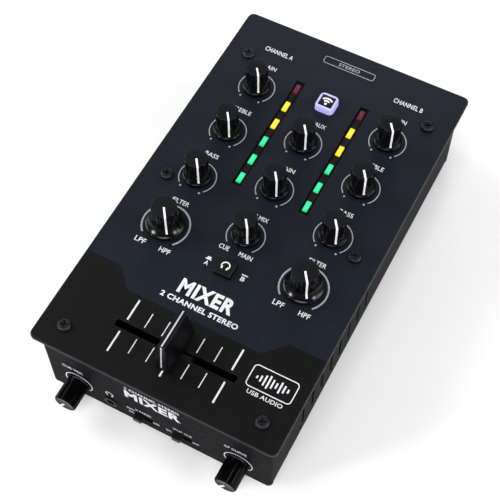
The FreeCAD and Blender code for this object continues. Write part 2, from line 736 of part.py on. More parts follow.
def rca_housing(x):
    half_w = 5.2
    depth = 10.0
    tall = Z_RCA_LOW + RCA_PITCH_Z + 6.0
    return rounded(block(x - half_w, x + half_w, SOCKET_Y - depth, SOCKET_Y, Z_MAIN, tall), Z_AXIS, 0.6)


def rca_sleeve(x, z):
    end = CASE_Y + RCA_OUT
    tube = post_y(x, z, RCA_R, CASE_Y + RCA_STEP, end)
    mouth = [edge for edge in tube.Edges if edge.BoundBox.YMin > end - 1e-6]
    tube = tube.makeChamfer(0.4, mouth)
    neck = post_y(x, z, RCA_NECK_R, SOCKET_Y, CASE_Y + RCA_STEP + 0.5)
    return tube.fuse(neck).cut(post_y(x, z, RCA_BORE_R, SOCKET_Y - 1, end + 1))


def rca_insert(x, z):
    core = post_y(x, z, RCA_INSERT_R, SOCKET_Y, CASE_Y + RCA_OUT - 1.2)
    return core.cut(post_y(x, z, RCA_PIN_R, SOCKET_Y + 1.5, CASE_Y + RCA_OUT))


def usb_socket():
    rear = CASE_Y + 0.4
    half = USB_W / 2
    shell = rounded(block(-half, half, rear - USB_L, rear, Z_MAIN, Z_MAIN + USB_H), Y_AXIS, 0.5)
    mid_z = Z_MAIN + USB_H / 2
    low = mid_z - USB_MOUTH_H / 2
    mouth = block(-USB_MOUTH_W / 2, USB_MOUTH_W / 2, rear - USB_MOUTH_L, rear + 1, low, low + USB_MOUTH_H)
    upper_edges = [edge for edge in edges_along(mouth, Y_AXIS) if edge.BoundBox.ZMin > mid_z]
    mouth = mouth.makeChamfer(USB_MOUTH_CUT, upper_edges)
    half_w = USB_TONGUE_W / 2
    half_h = USB_TONGUE_H / 2
    tongue = block(-half_w, half_w, rear - USB_MOUTH_L - 0.5, rear - 2.5, mid_z - half_h, mid_z + half_h)
    return shell.cut(mouth).fuse(tongue)


def ground_terminal():
    stud = post_y(0, Z_GROUND, STUD_R, INNER_Y - 4.0, CASE_Y + GROUND_OUT)
    inner_nut = post_y(0, Z_GROUND, NUT_R, INNER_Y - 2.4, SOCKET_Y)
    collar = post_y(0, Z_GROUND, NUT_R, CASE_Y + 0.1, CASE_Y + 1.1)
    grip = post_y(0, Z_GROUND, GRIP_R, CASE_Y + 4.0, CASE_Y + 9.5)
    groove_r = 0.45
    groove_ring = GRIP_R + 0.2
    grooves = []
    for index in range(GRIP_TEETH):
        angle = index * 2 * math.pi / GRIP_TEETH
        x = groove_ring * math.cos(angle)
        z = Z_GROUND + groove_ring * math.sin(angle)
        grooves.append(post_y(x, z, groove_r, CASE_Y + 3.0, CASE_Y + GROUND_OUT))
    return stud.multiFuse([inner_nut, collar, cut_all(grip, grooves)])


# ---------------------------------------------------------------- write every sub-part
def main():
    os.makedirs("parts", exist_ok=True)
    save("faceplate", faceplate())
    save("bottom_tray", bottom_tray())
    save("front_panel", front_panel())
    save("rear_panel", rear_panel())
    save("rubber_feet", *[foot(x, y) for x in (-FOOT_X, FOOT_X) for y in (-FOOT_Y, FOOT_Y)])
    save("faceplate_screws", *faceplate_screws())
    save("chassis_screws", *chassis_screws())
    save("board_pillars", *[hex_pillar(x, y) for x, y in PILLARS])
    save("board_spacers", *[spacer(x, y) for x, y in SPACERS])
    save("control_board", control_board())
    save("main_board", main_board())
    save("riser_board", riser_board())
    save("pot_bodies", *pot_bodies())
    save_rotary_controls()
    save("crossfader_frame", crossfader_frame())
    save("crossfader_rails", *crossfader_rails())
    save("crossfader_carriage", crossfader_carriage())
    save("crossfader_lever", crossfader_lever())
    save("crossfader_cap", crossfader_cap())
    save("cue_button", push_button(CUE_Y, CUE_SIDE, 0.5, CUE_H, CUE_TRAVEL))
    save("wireless_button", push_button(WIRELESS_Y, WIRELESS_SIDE, 2.0, WIRELESS_H, WIRELESS_TRAVEL))
    save("button_switches", push_switch(CUE_Y), push_switch(WIRELESS_Y))
    save("meter_bezels", meter_bezel(-1), meter_bezel(1))
    save("meter_leds", *[meter_led(side, y) for side in (-1, 1) for y in segment_ys()])
    save("headphone_jack", headphone_jack())
    front_bodies = [slide_switch_body(x) for x in FRONT_SWITCH_XS]
    rear_bodies = [rear_copy(slide_switch_body, x) for x in REAR_SWITCH_XS]
    save("slide_switch_bodies", *front_bodies, *rear_bodies)
    for name, x in zip(("reverse_slider", "split_slider"), FRONT_SWITCH_XS):
        save(name, slide_switch_slider(x))
    for name, x in zip(("phono_a_slider", "phono_b_slider"), REAR_SWITCH_XS):
        save(name, rear_copy(slide_switch_slider, x))
    save("rca_housings", *[rca_housing(x) for x in RCA_XS])
    save("rca_sleeves", *[rca_sleeve(x, z) for x, z in rca_places()])
    save("rca_inserts", *[rca_insert(x, z) for x, z in rca_places()])
    save("usb_socket", usb_socket())
    save("ground_terminal", ground_terminal())


main()
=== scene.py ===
import json
import math

import bpy
from mathutils import Matrix, Vector


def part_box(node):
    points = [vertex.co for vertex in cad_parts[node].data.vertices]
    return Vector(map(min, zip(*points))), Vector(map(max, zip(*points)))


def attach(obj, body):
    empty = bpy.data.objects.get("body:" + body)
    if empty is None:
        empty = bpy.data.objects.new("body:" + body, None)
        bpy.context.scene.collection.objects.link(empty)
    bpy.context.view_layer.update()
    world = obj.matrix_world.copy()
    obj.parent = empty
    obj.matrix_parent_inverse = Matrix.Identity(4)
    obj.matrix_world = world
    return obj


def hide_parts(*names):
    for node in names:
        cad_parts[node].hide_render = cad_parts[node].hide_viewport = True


# Looks of a compact two-channel DJ mixer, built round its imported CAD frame.
# Metres, +Z up, front towards -Y.  Lengths below are written in millimetres times MM.

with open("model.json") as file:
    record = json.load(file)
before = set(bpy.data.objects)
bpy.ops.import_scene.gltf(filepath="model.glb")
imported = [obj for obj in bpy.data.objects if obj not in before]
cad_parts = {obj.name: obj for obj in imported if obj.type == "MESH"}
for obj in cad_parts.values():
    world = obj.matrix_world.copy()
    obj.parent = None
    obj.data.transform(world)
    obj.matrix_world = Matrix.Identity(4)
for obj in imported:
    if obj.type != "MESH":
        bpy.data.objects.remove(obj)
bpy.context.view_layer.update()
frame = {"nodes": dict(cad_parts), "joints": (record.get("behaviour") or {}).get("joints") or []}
MM = 0.001

# ---------------------------------------------------------------- places read from the frame
NODES = frame["nodes"]
PLATE_LOW, PLATE_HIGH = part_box("faceplate")
TOP = PLATE_HIGH.z
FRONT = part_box("front_panel")[0].y
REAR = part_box("rear_panel")[1].y
SWEEP = {joint["child"]: joint for joint in frame["joints"] if joint["type"] == "hinge"}

CHANNEL_ROWS = ("gain", "treble", "bass", "filter")
MASTER_KNOBS = ("aux", "main", "mix")
FRONT_KNOBS = ("cue_volume", "fader_curve")
TOP_KNOBS = [f"{row}_{channel}" for channel in "ab" for row in CHANNEL_ROWS] + list(MASTER_KNOBS)


def middle(node):
    low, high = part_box(node)
    return (low + high) / 2


def rest_angle(body):
    """Half of the control's full turn: how far its pointer stands from the middle at rest."""
    return math.radians(max(abs(limit) for limit in SWEEP[body]["range_deg"])) / 2


# ---------------------------------------------------------------- colours
def srgb(red, green, blue):
    def linear(value):
        share = value / 255
        return share / 12.92 if share <= 0.04045 else ((share + 0.055) / 1.055) ** 2.4

    return (linear(red), linear(green), linear(blue), 1.0)


# ---------------------------------------------------------------- procedural materials
class Finish:
    """One material: a Principled shader whose colour, roughness and normal come from nodes."""

    def __init__(self, name, metallic=0.0, **sockets):
        self.material = bpy.data.materials.new(name)
        self.material.use_nodes = True
        self.tree = self.material.node_tree
        self.shader = self.tree.nodes["Principled BSDF"]
        self.shader.inputs["Metallic"].default_value = metallic
        for key, value in sockets.items():
            self.shader.inputs[key.replace("_", " ")].default_value = value
        self.place = self.add("ShaderNodeTexCoord").outputs["Object"]

    def add(self, kind, inputs=None, **settings):
        made = self.tree.nodes.new(kind)
        for key, value in settings.items():
            setattr(made, key, value)
        for key, value in (inputs or {}).items():
            if isinstance(value, bpy.types.NodeSocket):
                self.tree.links.new(value, made.inputs[key])
            else:
                made.inputs[key].default_value = value
        return made

    def noise(self, grain, detail=2.0):
        """Soft noise whose blotches are about grain metres across."""
        inputs = {"Vector": self.place, "Scale": 1 / grain, "Detail": detail}
        return self.add("ShaderNodeTexNoise", inputs).outputs[0]

    def patches(self, grain, detail=2.0, low=0.0, high=1.0):
        """Noise spread from low to high."""
        return self.remap(self.noise(grain, detail), 0.3, 0.7, low, high)

    def flecks(self, grain, share):
        """1 on a small share of cells about grain metres across, 0 elsewhere."""
        cells = self.add("ShaderNodeTexVoronoi", {"Vector": self.place, "Scale": 1 / grain})
        value = self.add("ShaderNodeSeparateColor", {0: cells.outputs["Color"]}).outputs[0]
        chosen = self.calc("GREATER_THAN", value, 1 - share)
        core = self.calc("LESS_THAN", cells.outputs["Distance"], 0.35)
        return self.calc("MULTIPLY", chosen, core)

    def calc(self, operation, first, second=0.0):
        return self.add("ShaderNodeMath", {0: first, 1: second}, operation=operation).outputs[0]

    def remap(self, value, low, high, to_low=0.0, to_high=1.0):
        inputs = {0: value, 1: low, 2: high, 3: to_low, 4: to_high}
        return self.add("ShaderNodeMapRange", inputs).outputs[0]

    def mix(self, share, first, second):
        inputs = {0: share, 6: first, 7: second}
        return self.add("ShaderNodeMix", inputs, data_type="RGBA").outputs[2]

    def wear_and_highlight_edge(self, radius):
        """1 on convex and concave edges within radius, 0 on flats, broken up by noise."""
        bevel = self.add("ShaderNodeBevel", {"Radius": radius}, samples=4).outputs[0]
        flat = self.add("ShaderNodeNewGeometry").outputs["Normal"]
        product = self.add("ShaderNodeVectorMath", {0: bevel, 1: flat}, operation="DOT_PRODUCT")
        edge = self.remap(product.outputs["Value"], 0.985, 0.8)
        return self.calc("MULTIPLY", edge, self.remap(self.noise(1.2 * MM), 0.35, 0.65))

    def bump(self, height, depth, soften=0.0):
        """Normal for a height from 0 to 1 over depth metres, on edges softened over soften metres."""
        inputs = {"Height": height, "Distance": depth, "Strength": 1.0}
        if soften:
            inputs["Normal"] = self.add("ShaderNodeBevel", {"Radius": soften}, samples=4).outputs[0]
        return self.add("ShaderNodeBump", inputs).outputs[0]

    def wire(self, colour, roughness, normal=None):
        self.tree.links.new(colour, self.shader.inputs["Base Color"])
        self.tree.links.new(roughness, self.shader.inputs["Roughness"])
        if normal:
            self.tree.links.new(normal, self.shader.inputs["Normal"])
        return self.material


def painted(name, dark, light, roughness, grain=0.22 * MM, depth=0.012 * MM, edge=None, **sockets):
    """Fine-textured powder coat."""
    finish = Finish(name, **sockets)
    texture = finish.noise(grain, 3.0)
    cloud = finish.noise(14 * MM)
    colour = finish.mix(finish.remap(finish.calc("ADD", texture, cloud), 0.7, 1.3), dark, light)
    colour = finish.mix(finish.calc("MULTIPLY", finish.wear_and_highlight_edge(0.25 * MM), 0.5), colour, edge or light)
    rough = finish.patches(1.5 * MM, 4.0, roughness - 0.05, roughness + 0.06)
    return finish.wire(colour, rough, finish.bump(texture, depth, 0.18 * MM))


FIELD_MIDDLE = 34.1 * MM   # depth of the black field from the plate's front edge, between its slopes
FIELD_SIDE = 42.3 * MM     # the same depth beside the slopes
SLOPE_INNER = 29.0 * MM    # the slopes run between these distances from the middle
SLOPE_OUTER = 37.0 * MM


def faceplate_paint():
    """Blue-grey satin coat with sparkle; the crossfader field in front of it is neutral black."""
    finish = Finish("faceplate_paint", Specular_IOR_Level=0.2)
    axes = finish.add("ShaderNodeSeparateXYZ", {0: finish.place}).outputs
    across = finish.calc("ABSOLUTE", axes[0])
    near, far = PLATE_LOW.y + FIELD_MIDDLE, PLATE_LOW.y + FIELD_SIDE
    border = finish.remap(across, SLOPE_INNER, SLOPE_OUTER, near, far)
    behind = finish.calc("SUBTRACT", axes[1], border)
    in_rear = finish.remap(behind, -0.15 * MM, 0.15 * MM)
    texture = finish.noise(0.2 * MM, 3.0)
    tone = finish.remap(texture, 0.3, 0.7)
    rear = finish.mix(tone, srgb(13, 18, 27), srgb(18, 24, 35))
    sparkle = finish.calc("MULTIPLY", finish.flecks(0.33 * MM, 0.06), 0.22)
    rear = finish.mix(sparkle, rear, srgb(84, 104, 136))
    front = finish.mix(tone, srgb(4, 4, 6), srgb(7, 7, 9))
    colour = finish.mix(in_rear, front, rear)
    wear = finish.calc("MULTIPLY", finish.wear_and_highlight_edge(0.3 * MM), 0.6)
    colour = finish.mix(wear, colour, srgb(88, 90, 96))
    rough = finish.patches(2.0 * MM, 4.0, 0.40, 0.50)
    return finish.wire(colour, rough, finish.bump(texture, 0.008 * MM, 0.2 * MM))


def moulded(name, dark, light, roughness, grain=0.1 * MM, depth=0.002 * MM, smudge=0.08, edge=None,
            **sockets):
    """Moulded plastic or rubber: faint grain, faint handling marks, softened edges, and, where edge is
    given, a lighter rim that is partly rubbed wear and partly a painted highlight.
    """
    finish = Finish(name, **sockets)
    texture = finish.noise(grain)
    colour = finish.mix(finish.patches(3 * MM, 3.0), dark, light)
    # A given edge colour lightens the rims: rubbed wear together with a painted highlight.
    if edge:
        colour = finish.mix(finish.wear_and_highlight_edge(0.2 * MM), colour, edge)
    rough = finish.remap(finish.noise(2.2 * MM, 5.0), 0.35, 0.7, roughness, roughness + smudge)
    return finish.wire(colour, rough, finish.bump(texture, depth, 0.1 * MM))


def metal(name, dark, light, roughness, depth=0.0004 * MM):
    """Plated or machined metal with fine tool marks and dulled patches."""
    finish = Finish(name, metallic=1.0)
    marks = finish.noise(0.2 * MM)
    colour = finish.mix(finish.patches(2.0 * MM, 3.0), dark, light)
    rough = finish.patches(0.9 * MM, 4.0, roughness, roughness + 0.15)
    return finish.wire(colour, rough, finish.bump(marks, depth, 0.08 * MM))


def ink(name, light, dark):
    """Screen print: slightly uneven cover over the coat."""
    finish = Finish(name)
    cover = finish.noise(0.35 * MM, 3.0)
    colour = finish.mix(finish.remap(cover, 0.35, 0.6), dark, light)
    rough = finish.remap(cover, 0.3, 0.7, 0.45, 0.6)
    return finish.wire(colour, rough, finish.bump(cover, 0.004 * MM))


def lamp(name, core, rim, half_width, half_length, strength):
    """Lit lens: bright in the middle, deeper colour towards its edges."""
    finish = Finish(name)
    axes = finish.add("ShaderNodeSeparateXYZ", {0: finish.place}).outputs
    across = finish.calc("DIVIDE", finish.calc("ABSOLUTE", axes[0]), half_width)
    along = finish.calc("DIVIDE", finish.calc("ABSOLUTE", axes[1]), half_length)
    edge = finish.remap(finish.calc("MAXIMUM", across, along), 0.5, 1.0)
    grainy = finish.calc("ADD", edge, finish.patches(0.5 * MM, low=-0.08, high=0.08))
    colour = finish.mix(grainy, core, rim)
    rough = finish.patches(0.6 * MM, low=0.2, high=0.3)
    finish.tree.links.new(colour, finish.shader.inputs["Emission Color"])
    finish.shader.inputs["Emission Strength"].default_value = strength
    dim = finish.mix(0.75, colour, (0.0, 0.0, 0.0, 1.0))
    return finish.wire(dim, rough)


def circuit_board():
    """Green solder mask over a faint grid of tracks."""
    finish = Finish("circuit_board")
    inputs = {"Vector": finish.place, "Scale": 1 / (4 * MM)}
    tracks = finish.add("ShaderNodeTexVoronoi", inputs, distance="MANHATTAN")
    lines = finish.remap(tracks.outputs["Distance"], 0.42, 0.46)
    colour = finish.mix(lines, srgb(12, 66, 34), srgb(22, 92, 50))
    rough = finish.patches(2 * MM, low=0.28, high=0.4)
    return finish.wire(colour, rough, finish.bump(lines, 0.02 * MM))


PAINT_PLATE = faceplate_paint()
PAINT_WALL = painted(
    "case_paint_wall", srgb(12, 12, 15), srgb(18, 18, 22), 0.6,
    edge=srgb(56, 57, 62), Specular_IOR_Level=0.045,
)
SCREW_BLACK = metal("black_oxide", srgb(44, 45, 50), srgb(60, 61, 67), 0.42)
# Near-black steel for the crossfader frame: its darkness paints the shade inside the fader slot.
SLOT_SHADE_STEEL = metal("slot_shade_steel", srgb(14, 14, 15), srgb(22, 22, 23), 0.5)
STEEL = metal("plated_steel", srgb(168, 168, 165), srgb(200, 200, 198), 0.25)
NICKEL = metal("nickel_plate", srgb(188, 185, 176), srgb(214, 212, 205), 0.28)
RUBBER = moulded("foot_rubber", srgb(18, 18, 18), srgb(26, 26, 26), 0.75, 0.3 * MM, 0.01 * MM)
KNOB_GLOSS = moulded("knob_gloss", srgb(3, 3, 4), srgb(5, 5, 7), 0.17, smudge=0.07, Specular_IOR_Level=0.3)
KNOB_FRONT = moulded(
    "front_knob_gloss", srgb(3, 3, 4), srgb(5, 5, 7), 0.17, smudge=0.07, Specular_IOR_Level=0.04
)
# The light edge colours of the knob top, the fader cap and the cue button paint a highlight along their
# rims, together with rubbed wear.
KNOB_SATIN = moulded(
    "knob_cap_satin", srgb(9, 11, 16), srgb(13, 15, 21), 0.5, edge=srgb(88, 92, 102), Specular_IOR_Level=0.14
)
FADER_PLASTIC = moulded(
    "fader_cap_satin", srgb(4, 4, 6), srgb(7, 7, 10), 0.3, edge=srgb(52, 54, 64), Specular_IOR_Level=0.22
)
BUTTON_PLASTIC = moulded(
    "button_black", srgb(6, 6, 8), srgb(10, 10, 12), 0.34, edge=srgb(44, 46, 52), Specular_IOR_Level=0.3
)
DARK_PLASTIC = moulded("socket_black", srgb(9, 9, 10), srgb(14, 14, 15), 0.45, Specular_IOR_Level=0.25)
BEZEL_PLASTIC = moulded("meter_black", srgb(2, 2, 3), srgb(4, 4, 5), 0.6, Specular_IOR_Level=0.08)
METER_STRIP = moulded("meter_strip", srgb(21, 18, 17), srgb(28, 24, 23), 0.6, Specular_IOR_Level=0.15)
TILE_GLASS = moulded("icon_tile", srgb(9, 12, 30), srgb(13, 17, 38), 0.35, Specular_IOR_Level=0.25)
ALUMINIUM = metal("turned_aluminium", srgb(196, 197, 199), srgb(216, 217, 219), 0.3)
FADER_GUIDE = moulded("fader_carriage_plastic", srgb(16, 16, 16), srgb(23, 23, 22), 0.5)
BOARD = circuit_board()
INK = ink("print_white", srgb(226, 227, 230), srgb(196, 198, 202))
INK_DIM = ink("print_grey", srgb(168, 170, 175), srgb(140, 142, 148))
POINTER_WHITE = moulded("pointer_white", srgb(236, 236, 236), srgb(250, 250, 250), 0.3)
FADER_WHITE = moulded("fader_line_white", srgb(172, 173, 182), srgb(186, 187, 196), 0.4)


# ---------------------------------------------------------------- mesh building
class Build:
    """Points and faces of one piece; place turns the frame they are given in into the mesh's frame."""

    def __init__(self, place=None):
        self.place = place or Matrix.Identity(4)
        self.points = []
        self.faces = []

    def add(self, points, faces):
        base = len(self.points)
        self.points += [self.place @ Vector(point) for point in points]
        self.faces += [tuple(base + index for index in face) for face in faces]

    def stack(self, rings):
        """Closed skin through rings of equal length, anticlockwise seen from above, with flat ends."""
        count = len(rings[0])
        faces = [tuple(reversed(range(count)))]
        for level in range(len(rings) - 1):
            for index in range(count):
                near = level * count + index
                far = level * count + (index + 1) % count
                faces.append((near, far, far + count, near + count))
        last = (len(rings) - 1) * count
        faces.append(tuple(range(last, last + count)))
        self.add([point for ring in rings for point in ring], faces)

    def prism(self, outline, low, high):
        self.stack([[(x, y, z) for x, y in outline] for z in (low, high)])

    def disc(self, centre, radius, low, high, count=24):
        self.prism([polar(centre, radius, 2 * math.pi * i / count) for i in range(count)], low, high)

    def stroke(self, path, width, low, high, closed=False):
        """Flat band of one width along a path, from low to high."""
        count = len(path)
        points = []
        for index, (x, y) in enumerate(path):
            before = path[index - 1] if index or closed else path[index]
            after = path[(index + 1) % count] if index + 1 < count or closed else path[index]
            along = Vector((after[0] - before[0], after[1] - before[1])).normalized()
            dx, dy = -along.y * width / 2, along.x * width / 2
            left, right = (x + dx, y + dy), (x - dx, y - dy)
            points += [(*left, low), (*right, low), (*right, high), (*left, high)]
        faces = []
        for index in range(count if closed else count - 1):
            near, far = 4 * index, 4 * ((index + 1) % count)
            for corner in range(4):
                beside = (corner + 1) % 4
                faces.append((near + corner, far + corner, far + beside, near + beside))
        if not closed:
            faces += [(0, 1, 2, 3), tuple(4 * (count - 1) + i for i in (3, 2, 1, 0))]
        self.add(points, faces)

    def arc(self, centre, radius, start, end, width, low, high):
        """Band along an arc; start and end are degrees, anticlockwise from +X."""
        steps = max(6, int(abs(end - start) / 5))
        angles = [math.radians(start + (end - start) * i / steps) for i in range(steps + 1)]
        self.stroke([polar(centre, radius, angle) for angle in angles], width, low, high)

    def frame_line(self, centre, width, length, radius, line, low, high):
        """Outline of a rounded box."""
        path = [(x + centre[0], y + centre[1]) for x, y, _ in rounded_outline(width, length, radius, 0)]
        self.stroke(path, line, low, high, closed=True)

    def text(self, words, centre, width, height, low, high, bold=0.012):
        """Plain capitals fitted to a width and height about centre."""
        curve = bpy.data.curves.new("lettering", "FONT")
        curve.body = words
        curve.offset = bold
        curve.space_character = 1 + 2.5 * bold
        curve.extrude = 1.0
        curve.resolution_u = 3
        holder = bpy.data.objects.new("lettering", curve)
        mesh = bpy.data.meshes.new_from_object(holder)
        welded = {}
        faces = []
        for face in mesh.polygons:
            keys = [tuple(round(value, 4) for value in mesh.vertices[index].co) for index in face.vertices]
            corners = [welded.setdefault(key, len(welded)) for key in keys]
            if len(set(corners)) == len(corners):
                faces.append(corners)
        bpy.data.objects.remove(holder)
        bpy.data.curves.remove(curve)
        bpy.data.meshes.remove(mesh)
        left, right = min(c[0] for c in welded), max(c[0] for c in welded)
        foot, head = min(c[1] for c in welded), max(c[1] for c in welded)
        points = []
        for across, up, side in welded:
            x = centre[0] + ((across - left) / (right - left) - 0.5) * width
            y = centre[1] + ((up - foot) / (head - foot) - 0.5) * height
            points.append((x, y, low if side < 0 else high))
        self.add(points, faces)

    def mesh(self, name, material, crease=32):
        made = bpy.data.meshes.new(name)
        made.from_pydata(self.points, [], self.faces)
        made.validate()
        made.shade_smooth()
        made.set_sharp_from_angle(angle=math.radians(crease))
        made.materials.append(material)
        return made

    def piece(self, name, material, body, stands_for=(), matrix=None):
        return place_mesh(name, self.mesh(name, material), body, stands_for, matrix)


def place_mesh(name, mesh, body, stands_for=(), matrix=None):
    """Link a mesh as a named piece that rides on a body."""
    made = bpy.data.objects.new(name, mesh)
    bpy.context.scene.collection.objects.link(made)
    if matrix:
        made.matrix_world = matrix
    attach(made, body)
    if stands_for:
        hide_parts(*stands_for)
    return made


def polar(centre, radius, angle):
    return (centre[0] + radius * math.cos(angle), centre[1] + radius * math.sin(angle))


def rounded_outline(width, length, radius, z, steps=6):
    points = []
    for corner, (side_x, side_y) in enumerate(((1, 1), (-1, 1), (-1, -1), (1, -1))):
        centre = (side_x * (width / 2 - radius), side_y * (length / 2 - radius))
        for step in range(steps + 1):
            points.append((*polar(centre, radius, math.pi / 2 * (corner + step / steps)), z))
    return points


def soft_block(width, length, low, high, corner, fillet, steps=5):
    """Rings of a rounded block whose top edge is filleted."""
    rings = [rounded_outline(width, length, corner, low)]
    for step in range(steps + 1):
        turn = math.pi / 2 * step / steps
        inset = fillet * (1 - math.cos(turn))
        radius = max(corner - inset, 0.05 * MM)
        height = high - fillet * (1 - math.sin(turn))
        rings.append(rounded_outline(width - 2 * inset, length - 2 * inset, radius, height))
    return rings


def facing(origin, across, up):
    """Local x and y run along across and up on a surface at origin; local z points out of it."""
    out = across.cross(up)
    turn = Matrix((across, up, out)).transposed().to_4x4()
    return Matrix.Translation(origin) @ turn


ON_PLATE = Matrix.Translation((0, 0, TOP))
ON_FRONT = facing(Vector((0, FRONT, 0)), Vector((1, 0, 0)), Vector((0, 0, 1)))
ON_REAR = facing(Vector((0, REAR, 0)), Vector((-1, 0, 0)), Vector((0, 0, 1)))
# Turns x and y of a path into +Y and +Z, and its thickness into +X.
UPRIGHT = Matrix(((0, 0, 1, 0), (1, 0, 0, 0), (0, 1, 0, 0), (0, 0, 0, 1)))
PRINT_LOW = -0.01 * MM
PRINT_HIGH = 0.025 * MM


# ---------------------------------------------------------------- rotary knobs
FLUTES = 10
GROOVE_R = 1.5 * MM
GROOVE_OUT = 1.12 * MM     # groove centres lie this far outside the knob's grip
GROOVE_LOW = 5.6 * MM      # grooves start at this height above the knob's underside
GRIP_R = 4.85 * MM
FILTER_GRIP_R = 5.4 * MM
DISC_INSET = 0.2 * MM      # satin top inside the grip's radius
SKIRT_H = 1.9 * MM
SKIRT_RIM = 0.4 * MM
GRIP_RIM = 0.24 * MM
KNOB_TOP_GAP = 0.15 * MM   # top edge below the highest point, which the satin top and the pointer take
POINTER_W = 0.8 * MM
POINTER_T = 0.3 * MM
POINTER_PROUD = 0.1 * MM


def smooth_min(first, second, blend):
    share = min(max(0.5 + 0.5 * (second - first) / blend, 0.0), 1.0)
    return second + (first - second) * share - blend * share * (1 - share)


def fluted_ring(radius, grip_r, depth_share, z, count=200):
    """Ring at z whose finger grooves are cut to depth_share of their full depth."""
    points = []
    groove_ring = grip_r + GROOVE_OUT
    step = 2 * math.pi / FLUTES
    for index in range(count):
        angle = 2 * math.pi * index / count
        off = (angle - math.pi / 2) % step - step / 2
        sideways = groove_ring * math.sin(off)
        reach = math.sqrt(max(GROOVE_R ** 2 - sideways ** 2, 0.0))
        grooved = smooth_min(radius, groove_ring * math.cos(off) - reach, 0.12 * MM)
        points.append((*polar((0, 0), radius + (grooved - radius) * depth_share, angle), z))
    return points


def groove_share(z, start, rise=1.5 * MM):
    """Depth of the ball-nosed grooves at height z, from 0 below start to 1 above the nose."""
    share = min(max((z - start) / rise, 0.0), 1.0)
    return math.sqrt(1 - (1 - share) ** 2)


def flare_top(grip_r, skirt_r):
    return SKIRT_H + 0.6 * MM + 0.95 * (skirt_r - grip_r)


def flare_radius(grip_r, skirt_r, z):
    """Radius of the knob between its skirt and its grip."""
    share = min(max((z - SKIRT_H) / (flare_top(grip_r, skirt_r) - SKIRT_H), 0.0), 1.0)
    return grip_r + (skirt_r - SKIRT_RIM - grip_r) * (1 - share) ** 1.6


def knob_body(grip_r, skirt_r, height):
    """Skirt, flare and grip; the grooves run out through the top edge."""
    levels = [(skirt_r - 0.15 * MM, 0.0), (skirt_r, 0.15 * MM), (skirt_r, SKIRT_H - SKIRT_RIM)]
    for step in range(1, 5):
        turn = math.pi / 2 * step / 4
        radius = skirt_r - SKIRT_RIM * (1 - math.cos(turn))
        levels.append((radius, SKIRT_H - SKIRT_RIM * (1 - math.sin(turn))))
    top = flare_top(grip_r, skirt_r)
    for step in range(1, 13):
        z = SKIRT_H + (top - SKIRT_H) * step / 12
        levels.append((flare_radius(grip_r, skirt_r, z), z))
    for step in range(1, 25):
        levels.append((grip_r, top + (height - GRIP_RIM - top) * step / 24))
    for step in range(1, 6):
        turn = math.pi / 2 * step / 5
        radius = grip_r - GRIP_RIM * (1 - math.cos(turn))
        levels.append((radius, height - GRIP_RIM * (1 - math.sin(turn))))
    build = Build()
    start = max(GROOVE_LOW, top)
    build.stack([fluted_ring(radius, grip_r, groove_share(z, start), z) for radius, z in levels])
    return build


def knob_disc(grip_r, height):
    """Satin top of the grip, notched by the grooves like the grip itself."""
    radius = grip_r - DISC_INSET
    groove_r = grip_r - 0.06 * MM
    build = Build()
    levels = ((0.0, -0.3 * MM), (0.0, 0.01 * MM), (0.05 * MM, 0.03 * MM))
    build.stack([fluted_ring(radius - inset, groove_r - inset, 1.0, height + z) for inset, z in levels])
    return build


def knob_pointer(grip_r, skirt_r, height):
    """White line from the middle of the top over its edge, down the front rib and onto the flare."""
    sink = POINTER_T / 2 - POINTER_PROUD
    bend = GRIP_RIM
    foot = SKIRT_H + 0.3 * (flare_top(grip_r, skirt_r) - SKIRT_H)
    path = [(0.35 * MM, height - sink), (grip_r - bend - sink, height - sink)]
    path.append((grip_r - 0.3 * bend - sink, height - 0.3 * bend - sink))
    path.append((grip_r - sink, height - bend - sink))
    for step in range(7):
        z = flare_top(grip_r, skirt_r) + (foot - flare_top(grip_r, skirt_r)) * step / 6
        path.append((flare_radius(grip_r, skirt_r, z) - sink, z))
    build = Build(UPRIGHT)
    build.stroke(path, POINTER_T, -POINTER_W / 2, POINTER_W / 2)
    return build


def top_knobs():
    """Three pieces for each knob; knobs of one kind share their meshes."""
    kinds = {}
    for name in TOP_KNOBS:
        low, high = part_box(f"{name}_knob")
        grip_r = FILTER_GRIP_R if name.startswith("filter") else GRIP_R
        skirt_r = (high.x - low.x) / 2
        height = high.z - low.z - KNOB_TOP_GAP
        if grip_r not in kinds:
            grip = knob_body(grip_r, skirt_r, height).mesh("knob_grip", KNOB_GLOSS)
            disc = knob_disc(grip_r, height).mesh("knob_disc", KNOB_SATIN)
            pointer = knob_pointer(grip_r, skirt_r, height).mesh("knob_pointer", POINTER_WHITE)
            kinds[grip_r] = (grip, disc, pointer)
        axis = middle(f"{name}_shaft")
        place = Matrix.Translation((axis.x, axis.y, low.z)) @ Matrix.Rotation(-rest_angle(name), 4, "Z")
        grip, disc, pointer = kinds[grip_r]
        place_mesh(f"{name}_grip", grip, name, [f"{name}_knob"], place)
        place_mesh(f"{name}_disc", disc, name, (), place)
        place_mesh(f"{name}_pointer", pointer, name, (), place)


